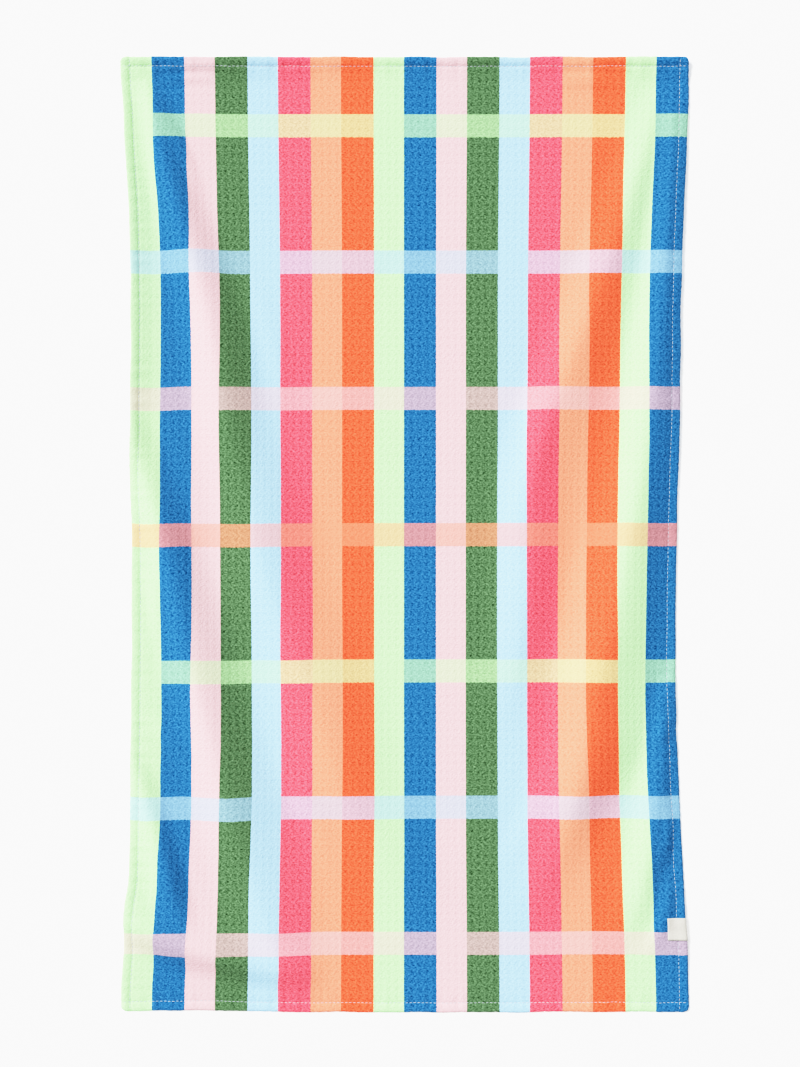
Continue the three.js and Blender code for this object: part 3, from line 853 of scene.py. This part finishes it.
def stitch_line(from_across, from_along, to_across, to_along):
    """The stitches of one side's hem, from edge to edge, with none where the label covers them."""
    points, faces = [], []
    start = np.array([from_across, from_along])
    run = np.array([to_across, to_along]) - start
    length = np.hypot(*run)
    sideways = np.array([-run[1], run[0]]) / length
    count = int(length / STITCH_PITCH)
    for k in range(count):
        drift = STITCH_WANDER * math.sin(k * WANDER_TURN) + chance.normal(0, STITCH_JITTER)
        middle = (k + 0.5) / count
        at_label = abs(start[1] + run[1] * middle - LABEL_ALONG) < LABEL_WIDTH / 2
        on_right_side = run[0] == 0 and start[0] > 0
        if at_label and on_right_side:
            continue
        half = STITCH_LENGTH / 2 / length * chance.uniform(SHORT_STITCH, LONG_STITCH)
        a = start + run * (middle - half) + sideways * drift
        b = start + run * (middle + half) + sideways * (drift + chance.normal(0, STITCH_SLANT))
        (first, up), (last, _) = face_at(*a), face_at(*b)
        thread_bead(first, last, up / np.linalg.norm(up), points, faces)
    return points, faces


def make_stitching(name, *ends):
    points, faces = stitch_line(*ends)
    return put_on_table(name, [tuple(point) for point in points], faces)


def thread_finish():
    """White twisted thread, with painted shade that makes its turns a little darker than their crowns."""
    thread = Finish("white_thread")
    place = thread.add("ShaderNodeTexCoord")
    twist = thread.add("ShaderNodeTexNoise", Vector=place.outputs["Object"], Scale=2600.0, Detail=2.0)
    # The darker of the two colours is painted shade in the thread's turns
    colour = thread.blend(twist.outputs["Fac"], (0.42, 0.46, 0.54, 1), (0.70, 0.73, 0.78, 1))
    thread.feed(thread.surface.inputs["Base Color"], colour)
    thread.surface.inputs["Roughness"].default_value = 0.55
    thread.surface.inputs["Sheen Weight"].default_value = 0.2
    bump = thread.add("ShaderNodeBump", Height=twist.outputs["Fac"], Distance=0.08 * MM, Strength=0.6)
    thread.feed(thread.surface.inputs["Normal"], bump.outputs[0])
    return thread.material


line_side = CUT_WIDTH / 2 - HEM_WIDTH
line_end = CUT_LENGTH / 2 - HEM_WIDTH
half_width = CUT_WIDTH / 2 - STITCH_END_GAP
half_length = CUT_LENGTH / 2 - STITCH_END_GAP
stitching = [
    make_stitching("stitching_top", -half_width, line_end, half_width, line_end),
    make_stitching("stitching_bottom", -half_width, -line_end, half_width, -line_end),
    make_stitching("stitching_left", -line_side, half_length, -line_side, -half_length),
    make_stitching("stitching_right", line_side, half_length, line_side, -half_length)]
white_thread = thread_finish()
for row in stitching:
    row.data.materials.append(white_thread)
    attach(row, "root")

# The label is a short strip of off-white woven ribbon. It is folded in half round the right hem, near
# the bottom, and sewn down under the hem's own stitching. It is bare.
RIBBON_THICK = 0.5 * MM
RIBBON_GAP = 0.15 * MM
RIBBON_FLAT = (31 * MM, LABEL_WIDTH)
RIBBON_EASE = 0.4
EASE_WINDOW = 5
TURN_TIGHTNESS = 0.35
TURN_START = 0.2 * MM
UNDER_START = 1.5 * MM
ACROSS_RIBBON, OVER_STEPS, TURN_STEPS, UNDER_STEPS = 13, 12, 9, 8


def ribbon_path(along):
    """One line of the ribbon over, round and under the hem, a little eased over its hollows."""
    over = []
    for reach in np.linspace(LABEL_REACH, TURN_START, OVER_STEPS):
        point, up = face_at(CUT_WIDTH / 2 - reach, along)
        over.append(point + up * RIBBON_GAP)
    top = np.array([point[2] for point in over])
    bridged = np.maximum.accumulate(top[::-1])[::-1]
    bridged = np.maximum(top, bridged * RIBBON_EASE + top * (1 - RIBBON_EASE))
    padded = np.pad(bridged, EASE_WINDOW // 2, mode="edge")
    eased = np.convolve(padded, np.ones(EASE_WINDOW) / EASE_WINDOW, mode="valid")
    for k, point in enumerate(over):
        point[2] = max(eased[k], top[k])
    edge = over[-1]
    turn_middle = (edge[2] + RIBBON_THICK) / 2
    radius = (edge[2] - RIBBON_THICK) / 2
    turn = []
    for angle in np.linspace(math.pi / 2, -math.pi / 2, TURN_STEPS)[1:]:
        bulge = math.cos(angle) * radius * TURN_TIGHTNESS
        turn.append(np.array([edge[0] + bulge, edge[1], turn_middle + math.sin(angle) * radius]))
    under = [
        np.array([edge[0] - reach, edge[1], RIBBON_THICK])
        for reach in np.linspace(UNDER_START, LABEL_REACH, UNDER_STEPS)]
    return over + turn + under


def make_label():
    """The ribbon's path carried along the hem, as a closed strip with its own thickness."""
    widths = np.linspace(-0.5, 0.5, ACROSS_RIBBON)
    net = np.array([ribbon_path(LABEL_ALONG + w * LABEL_WIDTH) for w in widths])
    to_next = np.gradient(net, axis=1)
    to_side = np.gradient(net, axis=0)
    out = np.cross(to_next, to_side)
    out /= np.linalg.norm(out, axis=2, keepdims=True)
    outer = net + out * RIBBON_THICK
    count_rows, count = net.shape[:2]
    points = np.concatenate([outer.reshape(-1, 3), net.reshape(-1, 3)])
    index = np.arange(count_rows * count).reshape(count_rows, count)
    inner = index + count_rows * count
    faces = net_quads(index, flipped=True) + net_quads(inner)
    outline = ring(count_rows, count)
    for k, pair in enumerate(outline):
        following = outline[(k + 1) % len(outline)]
        faces.append([
            int(index[following]), int(index[pair]), int(inner[pair]), int(inner[following])])
    reach = np.linspace(0, RIBBON_FLAT[0], count)
    flat = np.stack(np.meshgrid(reach, widths * LABEL_WIDTH + LABEL_WIDTH / 2), axis=2).reshape(-1, 2)
    return put_on_table("label", points.tolist(), faces, np.concatenate([flat, flat]))


RIB_PITCH = 0.45 * MM
WEFT_PITCH = 0.3 * MM
SLUBS_PER_METRE = 700.0


def ribbon_finish():
    """Off-white ribbon of fine upright ribs crossed by a finer weft."""
    ribbon = Finish("label_ribbon")
    flat = ribbon.add("ShaderNodeUVMap", {"uv_map": "cloth"})
    parts = ribbon.add("ShaderNodeSeparateXYZ", Vector=flat.outputs[0])
    ribs = ribbon.sum("SINE", ribbon.sum("MULTIPLY", parts.outputs["X"], math.tau / RIB_PITCH))
    weft = ribbon.sum("SINE", ribbon.sum("MULTIPLY", parts.outputs["Y"], math.tau / WEFT_PITCH))
    woven = ribbon.sum("MULTIPLY", ribs, weft)
    slubs = ribbon.add("ShaderNodeTexNoise", Vector=flat.outputs[0], Scale=SLUBS_PER_METRE, Detail=3.0)
    height = ribbon.sum("ADD", ribbon.sum("MULTIPLY", woven, 0.4), slubs.outputs["Fac"])
    # Painted shade: the ribbon is coloured darker where its weave and slubs lie low, in the hollows between
    # its ribs, over its own uneven tone
    share = ribbon.smooth(height, 0.1, 0.9)
    colour = ribbon.blend(share, (0.59, 0.57, 0.52, 1), (0.67, 0.65, 0.59, 1))
    ribbon.feed(ribbon.surface.inputs["Base Color"], colour)
    ribbon.surface.inputs["Roughness"].default_value = 0.75
    ribbon.surface.inputs["Sheen Weight"].default_value = 0.15
    bump = ribbon.add("ShaderNodeBump", Height=height, Distance=0.1 * MM, Strength=0.5)
    ribbon.feed(ribbon.surface.inputs["Normal"], bump.outputs[0])
    return ribbon.material


label = make_label()
label.data.materials.append(ribbon_finish())
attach(label, "root")
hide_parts("side_label")

# The table top is a plain white board that carries the towel. It glows a little by itself, as a lit
# board does in a photographer's studio, so that it stays nearly white round the towel.
TABLE_HALF = 3.0
TABLE_DROP = 0.2 * MM
table_mesh = bpy.data.meshes.new("table_top")
table_corners = [(across * TABLE_HALF, along * TABLE_HALF, 0)
                 for across, along in ((-1, -1), (1, -1), (1, 1), (-1, 1))]
table_mesh.from_pydata(table_corners, [], [(0, 1, 2, 3)])
table_top = bpy.data.objects.new("table_top", table_mesh)
table_top.location.z = -TABLE_DROP
bpy.context.scene.collection.objects.link(table_top)
table_paint = Finish("table_paint")
table_paint.surface.inputs["Base Color"].default_value = (0.97, 0.97, 0.97, 1)
table_paint.surface.inputs["Roughness"].default_value = 0.9
table_paint.surface.inputs["Specular IOR Level"].default_value = 0.1
table_paint.surface.inputs["Emission Color"].default_value = (1, 1, 1, 1)
table_paint.surface.inputs["Emission Strength"].default_value = 0.22
table_mesh.materials.append(table_paint.material)

# A broad soft lamp stands far off, up and to the left, and the whole room gives back even light
room = bpy.data.worlds.new("room")
room.use_nodes = True
room.node_tree.nodes["Background"].inputs["Color"].default_value = (1, 1, 1, 1)
room.node_tree.nodes["Background"].inputs["Strength"].default_value = 0.45
bpy.context.scene.world = room
TOWARDS_LAMP = Vector((-0.60, 0.42, 0.68))
LAMP_DISTANCE = 2
lamp_data = bpy.data.lights.new("softbox", "SUN")
lamp_data.energy = 2.65
lamp_data.angle = math.radians(24)
softbox = bpy.data.objects.new("softbox", lamp_data)
softbox.location = TOWARDS_LAMP * LAMP_DISTANCE
softbox.rotation_euler = TOWARDS_LAMP.to_track_quat("Z", "Y").to_euler()
bpy.context.scene.collection.objects.link(softbox)

# The camera looks straight down on the towel, from far enough off to see its outline without slant.
# The towel's middle is a little off the picture's, in its pixels.
PHOTO_WIDTH, PHOTO_HEIGHT = 800, 1067
TOWEL_MIDDLE_X, TOWEL_MIDDLE_Y = 405.5, 534.8
METRES_PER_PIXEL = 0.7345 * MM
LENS, SENSOR = 85, 36
camera_data = bpy.data.cameras.new("camera")
camera_data.lens = LENS
camera_data.sensor_width = SENSOR
camera = bpy.data.objects.new("camera", camera_data)
camera.location = (
    (PHOTO_WIDTH / 2 - TOWEL_MIDDLE_X) * METRES_PER_PIXEL,
    (TOWEL_MIDDLE_Y - PHOTO_HEIGHT / 2) * METRES_PER_PIXEL,
    PHOTO_HEIGHT * METRES_PER_PIXEL * LENS / SENSOR)
bpy.context.scene.collection.objects.link(camera)
bpy.context.scene.camera = camera

# Its film flattens tones out softly towards white, so that pale cloth keeps its colour on every fold
# and deep dyes turn richer in the shade. A screen's own standard curve is taken out again.
CURVE_PLACES = (0.015, 0.04, 0.08, 0.14, 0.22, 0.32, 0.45, 0.6, 0.8)


def before_screen(seen):
    """The light value that a screen's standard curve shows as the given one."""
    return seen / 12.92 if seen <= 0.04045 else ((seen + 0.055) / 1.055) ** 2.4


view = bpy.context.scene.view_settings
view.view_transform = "Standard"
view.use_curve_mapping = True
view.curve_mapping.extend = "HORIZONTAL"
response = view.curve_mapping.curves[3]
for light in CURVE_PLACES:
    response.points.new(light, light)
for point in response.points:
    light = point.location[0]
    point.location = (light, before_screen(1 - math.exp(-WHITE_EXPOSURE * light)))
view.curve_mapping.update()
